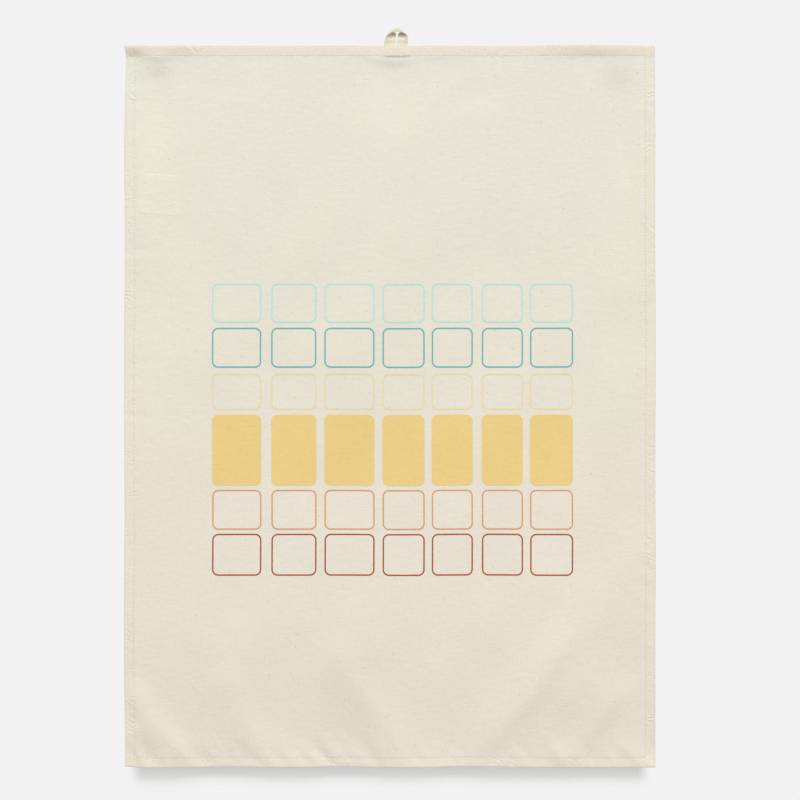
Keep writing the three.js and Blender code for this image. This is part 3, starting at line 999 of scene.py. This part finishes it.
scene = bpy.context.scene
scene.view_settings.view_transform = "Standard"
scene.world = bpy.data.worlds.new("studio")
scene.world.use_nodes = True
sky = scene.world.node_tree
seen = sky.nodes.new("ShaderNodeLightPath").outputs["Is Camera Ray"]
surroundings = sky.nodes.new("ShaderNodeMix")
surroundings.data_type = "RGBA"
surroundings.inputs[6].default_value = (AMBIENT, 0.975 * AMBIENT, 0.93 * AMBIENT, 1)
surroundings.inputs[7].default_value = (PAPER, PAPER, PAPER, 1)
sky.links.new(seen, surroundings.inputs[0])
sky.links.new(surroundings.outputs[2], sky.nodes["Background"].inputs["Color"])


def soft_light(name, towards_light, energy):
    """A round soft light in that direction from the towel's middle."""
    light = bpy.data.objects.new(name, bpy.data.lights.new(name, "AREA"))
    scene.collection.objects.link(light)
    light.data.shape = "DISK"
    light.data.size = LIGHT_SIZE
    light.data.energy = energy
    light.data.color = LIGHT_COLOUR
    light.visible_camera = False
    direction = Vector(towards_light).normalized()
    light.location = aim + direction * LIGHT_AWAY
    light.rotation_euler = (-direction).to_track_quat("-Z", "Y").to_euler()


soft_light("key", (0.02, -0.60, 0.80), 506)
soft_light("back_fill", (0.45, 0.80, 0.15), 285)


def stage_piece(name, corners, material):
    """One flat face of the surroundings, which isn't a part of the towel."""
    mesh = bpy.data.meshes.new(name)
    mesh.from_pydata(corners, [], [tuple(range(len(corners)))])
    mesh.materials.append(material)
    piece = bpy.data.objects.new(name, mesh)
    scene.collection.objects.link(piece)
    return piece


def paper_material(name, colour, share_of):
    """Matt paper that fades into the background. share_of(s, xyz) gives how much of it shows."""
    s = Shading(name, colour, 1.0, Specular_IOR_Level=0.0)
    clear = s.node("ShaderNodeBsdfTransparent").outputs[0]
    diffuse = s.node("ShaderNodeBsdfDiffuse", {"Color": colour}).outputs[0]
    place_of = s.node("ShaderNodeTexCoord").outputs["Object"]
    apart = s.node("ShaderNodeSeparateXYZ", {0: place_of})
    share = share_of(s, apart.outputs)
    mixed = s.node("ShaderNodeMixShader", {0: share, 1: clear, 2: diffuse}).outputs[0]
    s.tree.links.new(mixed, s.tree.nodes["Material Output"].inputs["Surface"])
    return s.material


def floor_share(s, xyz):
    """A round floor that fades outwards."""
    away = s.maths("SQRT", s.maths("ADD", s.maths("POWER", xyz[0], 2.0), s.maths("POWER", xyz[1], 2.0)))
    return s.ramp(away, 1.1, 2.2, 1.0, 0.0)


def wall_share(s, xyz):
    """A band of the wall round the towel's bottom edge, seen only from the front."""
    left = s.ramp(xyz[0], LEFT + 1 * MM, LEFT + 17 * MM)
    right = s.ramp(xyz[0], RIGHT - 17 * MM, RIGHT - 1 * MM, 1.0, 0.0)
    low = s.ramp(xyz[2], BOTTOM - 30 * MM, BOTTOM + 4 * MM)
    high = s.ramp(xyz[2], BOTTOM + 15 * MM, BOTTOM + 50 * MM, 1.0, 0.0)
    front = s.maths("SUBTRACT", 1.0, s.node("ShaderNodeNewGeometry").outputs["Backfacing"])
    share = s.maths("MULTIPLY", s.maths("MULTIPLY", left, right), s.maths("MULTIPLY", low, high))
    return s.maths("MULTIPLY", s.maths("MULTIPLY", share, front), 0.84)


floor_z = BOTTOM - FLOOR_DROP
turns = [a * math.pi / 32 for a in range(64)]
ring = [(FLOOR_RADIUS * math.cos(turn), FLOOR_RADIUS * math.sin(turn), floor_z) for turn in turns]
stage_piece("floor", ring, paper_material("floor_paper", (0.585, 0.585, 0.585, 1), floor_share))

WALL_BEHIND = 14.5 * MM
wall_x, wall_z = (LEFT, RIGHT), (BOTTOM - 62 * MM, BOTTOM + 52 * MM)
wall_corners = [(wall_x[0], WALL_BEHIND, wall_z[0]), (wall_x[1], WALL_BEHIND, wall_z[0])]
wall_corners += [(wall_x[1], WALL_BEHIND, wall_z[1]), (wall_x[0], WALL_BEHIND, wall_z[1])]
wall_paper = paper_material("wall_paper", (0.724, 0.730, 0.747, 1), wall_share)
wall = stage_piece("wall_shadow", wall_corners, wall_paper)
for way in ("visible_diffuse", "visible_glossy", "visible_transmission", "visible_shadow"):
    setattr(wall, way, False)
